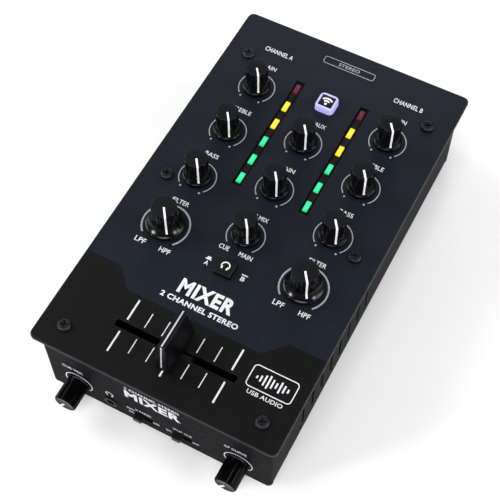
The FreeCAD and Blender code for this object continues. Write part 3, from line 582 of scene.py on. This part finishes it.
def front_knobs():
    """Straight fluted knobs on the front wall; local +Z points out of the wall."""
    low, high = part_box("cue_volume_knob")
    length = high.y - low.y - KNOB_TOP_GAP
    radius = middle("cue_volume_shaft").z - low.z
    rim = 0.7 * MM
    foot = 0.7 * MM
    levels = [(radius - 0.2 * MM, 0.0), (radius, 0.2 * MM), (radius, foot)]
    levels += [(radius, foot + (length - rim - foot) * step / 8) for step in range(1, 9)]
    for step in range(1, 7):
        turn = math.pi / 2 * step / 6
        levels.append((radius - rim * (1 - math.cos(turn)), length - rim * (1 - math.sin(turn))))
    levels.append((radius - rim - 0.5 * MM, length - 0.12 * MM))
    grip = Build()
    rings = []
    for ring_r, z in levels:
        share = min(max((z - 0.5 * MM) / (0.7 * MM), 0.0), 1.0)
        rings.append(fluted_ring(ring_r, radius, share, z))
    grip.stack(rings)
    grip_mesh = grip.mesh("front_knob_grip", KNOB_FRONT)
    line = Build(UPRIGHT)
    path = [(0.5 * MM, length - 0.03 * MM), (radius - rim - 0.1 * MM, length - 0.03 * MM)]
    line.stroke(path, POINTER_T, -POINTER_W / 2, POINTER_W / 2)
    line_mesh = line.mesh("front_knob_line", POINTER_WHITE)
    for name in FRONT_KNOBS:
        axis = middle(f"{name}_shaft")
        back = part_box(f"{name}_knob")[1].y
        place = Matrix.Translation((axis.x, back, axis.z)) @ Matrix.Rotation(math.pi / 2, 4, "X")
        place = place @ Matrix.Rotation(rest_angle(name), 4, "Z")
        place_mesh(f"{name}_grip", grip_mesh, name, [f"{name}_knob"], place)
        place_mesh(f"{name}_line", line_mesh, name, (), place)


# ---------------------------------------------------------------- crossfader
FADER_RIDGE_W = 3.0 * MM
FADER_TAPER = 0.184        # share of its length that the cap loses from foot to ridge
FADER_TOP_GAP = 0.08 * MM  # ridge below the highest point, which is the white line
FADER_FOOT = 0.012         # share of the height over which the foot flares out
FADER_LINE_W = 0.64 * MM
FADER_LINE_FOOT = 0.12     # share of the height where the line starts


def fader_section(share):
    """Width and length of the fader cap at a share of its height."""
    low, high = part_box("crossfader_cap")
    width = FADER_RIDGE_W + (high.x - low.x - FADER_RIDGE_W) * (1 - share) ** 1.35
    length = (high.y - low.y) * (1 - FADER_TAPER * share)
    return width, length


def fader_cap():
    """Blade cap with leaning flanks and a narrow flat ridge."""
    low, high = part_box("crossfader_cap")
    tall = high.z - low.z - FADER_TOP_GAP
    centre = middle("crossfader_cap")
    rim = 0.3 * MM
    build = Build(Matrix.Translation((centre.x, centre.y, low.z)))
    width, length = fader_section(0)
    rings = [rounded_outline(width - 0.5 * MM, length - 0.5 * MM, 0.8 * MM, 0)]
    for step in range(27):
        share = FADER_FOOT + (1 - rim / tall - FADER_FOOT) * step / 26
        width, length = fader_section(share)
        rings.append(rounded_outline(width, length, 1.2 * MM - 0.65 * MM * share, tall * share))
    for step in range(1, 6):
        turn = math.pi / 2 * step / 5
        inset = rim * (1 - math.cos(turn))
        height = tall - rim * (1 - math.sin(turn))
        rings.append(rounded_outline(width - 2 * inset, length - 2 * inset, 0.55 * MM - inset, height))
    build.stack(rings)
    build.piece("fader_cap_body", FADER_PLASTIC, "crossfader", ["crossfader_cap"])


def fader_line():
    """White line along the ridge and down both ends of the fader cap."""
    low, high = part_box("crossfader_cap")
    tall = high.z - low.z - FADER_TOP_GAP
    centre = middle("crossfader_cap")
    bend = 0.4 * MM
    thick = 0.3 * MM
    sink = thick / 2 - 0.05 * MM
    half = []
    for step in range(7):
        share = FADER_LINE_FOOT + (1 - bend / tall - FADER_LINE_FOOT) * step / 6
        half.append((fader_section(share)[1] / 2 - sink, tall * share))
    end_y = half[-1][0]
    half.append((end_y - 0.3 * bend, tall - sink - 0.3 * bend))
    half.append((end_y - bend, tall - sink))
    path = half + [(-y, z) for y, z in reversed(half)]
    place = Matrix.Translation((centre.x, centre.y, low.z))
    build = Build(place @ UPRIGHT)
    build.stroke(path, thick, -FADER_LINE_W / 2, FADER_LINE_W / 2)
    build.piece("fader_cap_line", FADER_WHITE, "crossfader")


# ---------------------------------------------------------------- buttons
CUE_SIDE = 7.4 * MM
WIRELESS_SIDE = 8.4 * MM
TILE_W = 6.2 * MM
TILE_L = 5.9 * MM
TILE_PROUD = 0.05 * MM
BUTTON_STEM = 3.0 * MM
FLANGE_T = 0.8 * MM
FLANGE_GAP = 0.2 * MM      # between the flange and the underside of the plate
SINK = 0.1 * MM            # overlap of joined blocks


def button(name, node, corner, fillet, side, material):
    """Cap, retaining flange and stem of a push button, where the frame holds it."""
    low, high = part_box(node)
    centre = middle(node)
    flange_high = PLATE_LOW.z - FLANGE_GAP
    flange_low = flange_high - FLANGE_T
    flange = high.x - low.x
    build = Build()
    build.stack(soft_block(side, side, flange_high - SINK, high.z, corner, fillet))
    build.stack(soft_block(flange, flange, flange_low, flange_high, corner, 0.1 * MM, 1))
    build.stack(soft_block(BUTTON_STEM, BUTTON_STEM, low.z, flange_low + SINK, 0.3 * MM, 0.05 * MM, 1))
    build.piece(name, material, node, [node], Matrix.Translation((centre.x, centre.y, 0)))
    return centre, high.z


def headphone_icon(build, centre, size, low, high):
    """Headband over two ear pads."""
    x, y = centre
    line = 0.30 * size
    build.arc((x, y), size, -35, 215, line, low, high)
    for side in (-1, 1):
        pad = [(x + side * 0.80 * size, y - 0.15 * size), (x + side * 0.62 * size, y - 0.95 * size)]
        build.stroke(pad, 0.42 * size, low, high)


def cue_button():
    """Black push button with a headphone sign."""
    node = "cue_button"
    centre, top = button("cue_button_cap", node, 0.6 * MM, 0.5 * MM, CUE_SIDE, BUTTON_PLASTIC)
    icon = Build(Matrix.Translation((centre.x, centre.y, top)))
    headphone_icon(icon, (0, 0.25 * MM), 1.65 * MM, PRINT_LOW, PRINT_HIGH)
    icon.piece("cue_button_icon", POINTER_WHITE, "cue_button")


def wireless_button():
    """Lit push button with a dark tile and a plain radio-wave sign."""
    half = WIRELESS_SIDE / 2
    lit = lamp("lit_button", srgb(240, 241, 255), srgb(176, 178, 246), half, half, 0.8)
    node = "wireless_button"
    centre, top = button("wireless_button_cap", node, 2.0 * MM, 0.7 * MM, WIRELESS_SIDE, lit)
    tile = Build(Matrix.Translation((centre.x, centre.y, top)))
    tile.stack(soft_block(TILE_W, TILE_L, -TILE_PROUD, TILE_PROUD, 0.35 * MM, 0.04 * MM, 2))
    tile.piece("wireless_button_tile", TILE_GLASS, "wireless_button")
    glyph = Build(Matrix.Translation((centre.x, centre.y, top + TILE_PROUD)))
    foot = (0, -1.5 * MM)
    glyph.disc(foot, 0.6 * MM, PRINT_LOW, PRINT_HIGH)
    for radius in (1.6, 2.9):
        glyph.arc(foot, radius * MM, 42, 138, 0.75 * MM, PRINT_LOW, PRINT_HIGH)
    glyph.piece("wireless_button_glyph", POINTER_WHITE, "wireless_button")


# ---------------------------------------------------------------- level meters
METER_LAMPS = ("green", "green", "green", "yellow", "yellow", "red")
METER_PITCH = 10.2 * MM
METER_FLANGE_W = 6.3 * MM
METER_FLANGE_T = 0.95 * MM
METER_STEP = 2.1 * MM      # the raised border is this much smaller than the flange
METER_BORDER = 0.65 * MM
STRIP_DROP = 0.45 * MM     # strip below the top of the border
LENS_W = 2.1 * MM
LENS_L = 5.1 * MM
LENS_BASE = 0.9 * MM       # the lens's foot is this much larger than the lens


def meter_bezels():
    """Black border round each meter window, with a lower strip between the lenses."""
    low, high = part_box("meter_bezels")
    flange_l = high.y - low.y
    line_w = METER_FLANGE_W - METER_STEP - METER_BORDER
    line_l = flange_l - METER_STEP - METER_BORDER
    flange_high = low.z + METER_FLANGE_T
    strip_high = high.z - STRIP_DROP
    borders = Build()
    strips = Build()
    for side in (-1, 1):
        x = side * ((high.x - low.x) - METER_FLANGE_W) / 2
        borders.place = strips.place = Matrix.Translation((x, (low.y + high.y) / 2, 0))
        borders.stack(soft_block(METER_FLANGE_W, flange_l, low.z, flange_high, 0.3 * MM, 0.1 * MM, 1))
        border_low = flange_high - 0.05 * MM
        borders.frame_line((0, 0), line_w, line_l, 0.1 * MM, METER_BORDER, border_low, high.z)
        strips.stack(soft_block(line_w, line_l, low.z + SINK, strip_high, 0.1 * MM, 0.02 * MM, 1))
    borders.piece("meter_borders", BEZEL_PLASTIC, "case", ["meter_bezels"])
    strips.piece("meter_strips", METER_STRIP, "case")


def meter_lenses():
    """Six lenses on each meter, numbered from the front: three green, two yellow, one red."""
    half_w, half_l = LENS_W / 2, LENS_L / 2
    green = lamp("lens_green", srgb(66, 246, 172), srgb(16, 204, 124), half_w, half_l, 0.95)
    yellow = lamp("lens_yellow", srgb(255, 246, 72), srgb(242, 208, 18), half_w, half_l, 0.95)
    red = lamp("lens_red", srgb(116, 24, 44), srgb(72, 12, 24), half_w, half_l, 0.75)
    low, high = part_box("meter_leds")
    mid_y = (low.y + high.y) / 2
    shape = {}
    for name, material in (("green", green), ("yellow", yellow), ("red", red)):
        build = Build()
        build.stack(soft_block(LENS_W, LENS_L, 0.5 * MM, high.z - low.z, 0.25 * MM, 0.15 * MM, 3))
        foot_w, foot_l = LENS_W + LENS_BASE, LENS_L + LENS_BASE
        build.stack(soft_block(foot_w, foot_l, 0, 1.2 * MM, 0.3 * MM, 0.1 * MM, 1))
        shape[name] = build.mesh(f"lens_{name}", material)
    for side, column in ((-1, "a"), (1, "b")):
        x = side * ((high.x - low.x) - LENS_W - LENS_BASE) / 2
        for index, colour in enumerate(METER_LAMPS):
            y = mid_y + (index - (len(METER_LAMPS) - 1) / 2) * METER_PITCH
            name = f"meter_{column}_lens_{index + 1}"
            stands_for = ["meter_leds"] if side < 0 and index == 0 else ()
            place = Matrix.Translation((x, y, low.z))
            place_mesh(name, shape[colour], "case", stands_for, place)


# ---------------------------------------------------------------- screen print
RING_R = 7.75 * MM
RING_W = 0.44 * MM
FILTER_RING_R = 9.7 * MM
FILTER_RING_W = 0.7 * MM
RING_HALF = 135.0          # degrees each way from the rear
DOT_HALF = 147.0
DOT_RING_R = 8.0 * MM
DOT_R = 0.42 * MM
FRONT_RING_R = 6.05 * MM
FRONT_RING_W = 0.5 * MM
CAPTION = {                # words, their width and how far behind the knob they stand, mm
    "gain": ("GAIN", 6.3, 12.2),
    "treble": ("TREBLE", 9.0, 12.2),
    "bass": ("BASS", 6.1, 12.2),
    "filter": ("FILTER", 7.5, 12.2),
    "aux": ("USB/AUX", 9.8, 11.5),
    "main": ("MAIN", 6.8, 11.5),
    "mix": ("CUE MIX", 9.6, 10.2),
}


def write(build, words, x, y, width, height=2.1, bold=0.012):
    """Lettering with middle, width and cap height given in millimetres."""
    build.text(words, (x * MM, y * MM), width * MM, height * MM, PRINT_LOW, PRINT_HIGH, bold)


def knob_print():
    """Arcs, end dots and captions round the knobs on the plate."""
    arcs = Build(ON_PLATE)
    captions = Build(ON_PLATE)
    for name in TOP_KNOBS:
        row = name.split("_")[0]
        axis = middle(f"{name}_shaft")
        centre = (axis.x, axis.y)
        radius, width = (FILTER_RING_R, FILTER_RING_W) if row == "filter" else (RING_R, RING_W)
        arcs.arc(centre, radius, 90 - RING_HALF, 90 + RING_HALF, width, PRINT_LOW, PRINT_HIGH)
        if row not in ("filter", "mix"):
            for side in (-1, 1):
                dot = polar(centre, DOT_RING_R, math.radians(90 + side * DOT_HALF))
                arcs.disc(dot, DOT_R, PRINT_LOW, PRINT_HIGH)
        words, wide, behind = CAPTION[row]
        write(captions, words, axis.x / MM, axis.y / MM + behind, wide)
    arcs.piece("print_knob_arcs", INK_DIM, "case")
    captions.piece("print_knob_captions", INK, "case")


def filter_print():
    """Low-pass and high-pass ends of the two filter knobs, and the two ends of the cue mix."""
    ends = Build(ON_PLATE)
    for name in ("filter_a", "filter_b"):
        axis = middle(f"{name}_shaft")
        for side, words in ((-1, "LPF"), (1, "HPF")):
            write(ends, words, axis.x / MM + side * 5.5, axis.y / MM - 10.6, 4.7, 2.3)
    mix = middle("mix_shaft")
    write(ends, "CUE", mix.x / MM - 5.2, mix.y / MM - 8.25, 4.3)
    write(ends, "MAIN", mix.x / MM + 4.3, mix.y / MM - 8.25, 5.8)
    ends.piece("print_control_ends", INK, "case")


def title_print():
    """Generic title block and channel names."""
    title = Build(ON_PLATE)
    write(title, "MIXER", -0.5, -44.8, 23.6, 6.6, 0.04)
    write(title, "2 CHANNEL STEREO", -0.5, -51.1, 33.5, 2.4, 0.034)
    write(title, "CHANNEL A", -30.6, 75.2, 13.2, 2.4)
    write(title, "CHANNEL B", 30.6, 75.2, 13.2, 2.4)
    title.piece("print_titles", INK, "case")
    strip = Build(ON_PLATE)
    strip.frame_line((0, 81.7 * MM), 23.6 * MM, 3.6 * MM, 0.9 * MM, 0.3 * MM, PRINT_LOW, PRINT_HIGH)
    write(strip, "STEREO", 0, 81.7, 9.8, 1.7)
    strip.piece("print_stereo_strip", INK_DIM, "case")


def cue_print():
    """Raised and pressed button signs on either side of the cue button."""
    signs = Build(ON_PLATE)
    centre = middle("cue_button")
    for side, words in ((-1, "A"), (1, "B")):
        x = centre.x + side * 8.0 * MM
        y = centre.y + 1.9 * MM
        bar = [(x - 1.3 * MM, y - 0.9 * MM), (x + 1.3 * MM, y - 0.9 * MM)]
        signs.stroke(bar, 0.5 * MM, PRINT_LOW, PRINT_HIGH)
        if side < 0:
            hat = [(x - 0.8 * MM, y - 0.3 * MM), (x + 0.8 * MM, y - 0.3 * MM)]
            signs.stroke(hat, 1.1 * MM, PRINT_LOW + 0.002 * MM, PRINT_HIGH + 0.004 * MM)
        write(signs, words, x / MM, centre.y / MM - 0.8, 1.7, 2.0, 0.02)
    signs.piece("print_cue_signs", INK, "case")


def fader_print():
    """Scale marks on both sides of the crossfader slot, long and bold at the ends and the middle."""
    marks = Build(ON_PLATE)
    slot_y = middle("crossfader_cap").y
    pitch = 7.5 * MM
    for index in range(-3, 4):
        bold = index in (-3, 0, 3)
        width = 0.75 * MM if bold else 0.4 * MM
        near, far = 2.7 * MM, (12.1 * MM if bold else 9.3 * MM)
        for side in (-1, 1):
            path = [(index * pitch, slot_y + side * near), (index * pitch, slot_y + side * far)]
            marks.stroke(path, width, PRINT_LOW, PRINT_HIGH)
    marks.piece("print_fader_scale", INK, "case")


def emblem_print():
    """Framed bar pattern at the front right corner."""
    emblem = Build(ON_PLATE)
    centre = (38.5 * MM, -65.5 * MM)
    emblem.frame_line(centre, 18.4 * MM, 9.2 * MM, 1.5 * MM, 0.4 * MM, PRINT_LOW, PRINT_HIGH)
    pitch = 1.6 * MM
    heights = (1.2, 2.6, 4.4, 5.6, 3.8, 2.4, 4.8, 3.2, 1.6)
    for index, tall in enumerate(heights):
        x = centre[0] + (index - (len(heights) - 1) / 2) * pitch
        half = tall * MM / 2
        emblem.stroke([(x, centre[1] - half), (x, centre[1] + half)], 0.7 * MM, PRINT_LOW, PRINT_HIGH)
    write(emblem, "USB AUDIO", 38.5, -72.0, 14.6, 1.7)
    emblem.piece("print_emblem", INK, "case")


def front_print():
    """Arcs, captions and signs on the front wall."""
    front = Build(ON_FRONT)
    for name, words, x in (("cue_volume", "CUE VOL", -37.3), ("fader_curve", "CF CURVE", 34.6)):
        axis = middle(f"{name}_shaft")
        centre, start, end = (axis.x, axis.z), 90 - RING_HALF, 90 + RING_HALF
        front.arc(centre, FRONT_RING_R, start, end, FRONT_RING_W, PRINT_LOW, PRINT_HIGH)
        write(front, words, x, 23.4, 9.6, 1.9)
    jack = middle("headphone_jack")
    headphone_icon(front, (jack.x, 16.2 * MM), 1.6 * MM, PRINT_LOW, PRINT_HIGH)
    switch_words = (
        ("REV", -12.1, 11.9, 3.6), ("ON", -12.1, 9.0, 2.4), ("OFF", -0.8, 9.0, 2.9),
        ("X FADER", -6.3, 13.9, 7.4), ("SPLIT CUE", 11.2, 13.9, 8.4),
        ("ON", 4.8, 9.0, 2.4), ("OFF", 17.0, 9.0, 2.9),
    )
    for words, x, y, width in switch_words:
        write(front, words, x, y, width, 1.5)
    write(front, "2 CHANNEL STEREO", -1.3, 31.2, 24.0, 2.0, 0.02)
    write(front, "MIXER", -1.3, 26.0, 24.6, 6.2, 0.04)
    front.piece("print_front_wall", INK, "case")


def rear_print():
    """Socket, switch and ground names on the rear wall; across runs leftwards seen from the front."""
    rear = Build(ON_REAR)
    groups = ((38, "CHANNEL A"), (24, "MAIN OUT"), (-24, "AUX IN"), (-38, "CHANNEL B"))
    for x, words in groups:
        write(rear, words, -x, 36.4, 11.4, 1.8)
        write(rear, "L", -x - 6.2, 27.9, 1.1, 1.8)
        write(rear, "R", -x - 6.2, 13.9, 1.3, 1.8)
    for x in (-12.5, 12.5):
        write(rear, "LINE", -x, 14.6, 4.6, 1.6)
        write(rear, "PHONO", -x, 4.8, 5.8, 1.6)
    write(rear, "USB", 0, 20.4, 4.6, 1.8)
    write(rear, "GND", 0, 35.0, 5.2, 1.8)
    rear.piece("print_rear_wall", INK, "case")


# ---------------------------------------------------------------- finishes on the carried CAD nodes
def two_tone_inserts():
    """Insulators of the phono sockets: white above, red below."""
    finish = Finish("socket_inserts")
    axes = finish.add("ShaderNodeSeparateXYZ", {0: finish.place}).outputs
    low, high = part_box("rca_inserts")
    upper = finish.calc("GREATER_THAN", axes[2], (low.z + high.z) / 2)
    shade = finish.patches(2 * MM)
    white = finish.mix(shade, srgb(210, 209, 202), srgb(228, 227, 221))
    red = finish.mix(shade, srgb(170, 22, 20), srgb(192, 32, 28))
    rough = finish.patches(0.8 * MM, low=0.25, high=0.35)
    colour = finish.mix(upper, red, white)
    return finish.wire(colour, rough, finish.bump(finish.noise(0.1 * MM), 0.002 * MM))


SLOT_FINISH = {
    "case_paint": PAINT_WALL,
    "black_screw": SCREW_BLACK,
    "rubber": RUBBER,
    "spacer_metal": STEEL,
    "circuit_board": BOARD,
    "pot_metal": STEEL,
    "knob_plastic": KNOB_GLOSS,
    "shaft_metal": ALUMINIUM,
    "fader_steel": SLOT_SHADE_STEEL,
    "fader_carriage": FADER_GUIDE,
    "fader_cap": FADER_PLASTIC,
    "cue_button": BUTTON_PLASTIC,
    "lit_button": TILE_GLASS,
    "switch_body": DARK_PLASTIC,
    "meter_bezel": BEZEL_PLASTIC,
    "meter_led": BEZEL_PLASTIC,
    "jack_plastic": DARK_PLASTIC,
    "slider_plastic": BUTTON_PLASTIC,
    "rca_housing": DARK_PLASTIC,
    "rca_metal": NICKEL,
    "rca_insert": two_tone_inserts(),
    "usb_metal": NICKEL,
    "terminal_metal": NICKEL,
}


def finish_frame():
    """Every carried CAD node takes the finish of its material slot."""
    for node, carried in NODES.items():
        for slot in carried.material_slots:
            wanted = SLOT_FINISH[slot.material.name.split(".")[0]]
            slot.material = PAINT_PLATE if node == "faceplate" else wanted


# ---------------------------------------------------------------- studio
VIEW_AZIMUTH = math.radians(27.869)    # from the front towards the right
VIEW_ELEVATION = math.radians(59.48)
VIEW_ROLL = math.radians(-0.101)
VIEW_DISTANCE = 0.4746
VIEW_RIGHT = -0.0048       # shift of the camera across and up its own picture
VIEW_UP = -0.0160


def camera():
    """Seen from the front right, high above the plate."""
    azimuth, elevation, roll = VIEW_AZIMUTH, VIEW_ELEVATION, VIEW_ROLL
    back = Vector((
        math.sin(azimuth) * math.cos(elevation),
        -math.cos(azimuth) * math.cos(elevation),
        math.sin(elevation),
    ))
    level = Vector((math.cos(azimuth), math.sin(azimuth), 0))
    upright = back.cross(level)
    right = math.cos(roll) * level + math.sin(roll) * upright
    up = math.cos(roll) * upright - math.sin(roll) * level
    data = bpy.data.cameras.new("camera")
    data.sensor_width = 36.0
    data.lens = 85.36
    made = bpy.data.objects.new("camera", data)
    bpy.context.scene.collection.objects.link(made)
    place = Vector((0, 0, TOP)) + VIEW_DISTANCE * back + VIEW_RIGHT * right + VIEW_UP * up
    made.matrix_world = Matrix.Translation(place) @ Matrix((right, up, back)).transposed().to_4x4()
    bpy.context.scene.camera = made


def floor():
    """Pale paper under the part."""
    half = 1.5
    build = Build()
    build.add([(-half, -half, 0), (half, -half, 0), (half, half, 0), (-half, half, 0)], [(0, 1, 2, 3)])
    finish = Finish("floor_paper")
    tone = finish.mix(finish.noise(0.05), srgb(243, 243, 244), srgb(248, 248, 248))
    rough = finish.patches(0.02, low=0.85, high=0.9)
    made = bpy.data.objects.new("floor", build.mesh("floor", finish.wire(tone, rough)))
    bpy.context.scene.collection.objects.link(made)


def lamp_panel(name, direction, distance, size, power):
    """Square soft light that faces the middle of the plate."""
    data = bpy.data.lights.new(name, "AREA")
    data.size = size
    data.energy = power
    made = bpy.data.objects.new(name, data)
    bpy.context.scene.collection.objects.link(made)
    out = Vector(direction).normalized()
    turn = out.to_track_quat("Z", "Y").to_matrix().to_4x4()
    made.matrix_world = Matrix.Translation(Vector((0, 0, TOP)) + out * distance) @ turn
    made.visible_camera = False


HORIZON_LIGHT = 0.28
CEILING_LIGHT = 0.03


def sky():
    """Pale walls round the set under a dark ceiling."""
    world = bpy.data.worlds.new("studio")
    world.use_nodes = True
    tree = world.node_tree
    ray = tree.nodes.new("ShaderNodeTexCoord").outputs["Generated"]
    height = tree.nodes.new("ShaderNodeSeparateXYZ")
    tree.links.new(ray, height.inputs[0])
    fall = tree.nodes.new("ShaderNodeMapRange")
    fall.interpolation_type = "SMOOTHSTEP"
    for socket, value in ((1, 0.15), (2, 0.75), (3, HORIZON_LIGHT), (4, CEILING_LIGHT)):
        fall.inputs[socket].default_value = value
    tree.links.new(height.outputs[2], fall.inputs[0])
    tree.links.new(fall.outputs[0], tree.nodes["Background"].inputs["Strength"])
    tree.nodes["Background"].inputs["Color"].default_value = (0.97, 0.985, 1.0, 1.0)
    bpy.context.scene.world = world


def studio():
    """Small panels for the glints, three large ones for the soft light."""
    lamp_panel("light_rear_top", (-0.3, 0.6, 0.74), 1.3, 1.4, 2.4)
    lamp_panel("light_left_front", (-0.59, -0.73, 0.36), 0.9, 0.16, 3.4)
    lamp_panel("light_right_front", (0.887, -0.198, 0.431), 1.0, 0.18, 2.2)
    lamp_panel("light_rear_low", (-0.24, 0.9, 0.37), 1.2, 0.5, 2.4)
    lamp_panel("light_front_high", (0.1, -0.5, 0.87), 3.2, 1.6, 54.0)
    lamp_panel("light_left_side", (-0.86, 0.0, 0.60), 3.2, 1.6, 50.0)
    lamp_panel("light_right_side", (0.85, 0.3, 0.55), 3.2, 1.6, 54.0)
    sky()
    bpy.context.scene.view_settings.view_transform = "Standard"


top_knobs()
front_knobs()
fader_cap()
fader_line()
cue_button()
wireless_button()
meter_bezels()
meter_lenses()
knob_print()
filter_print()
title_print()
cue_print()
fader_print()
emblem_print()
front_print()
rear_print()
finish_frame()
camera()
floor()
studio()
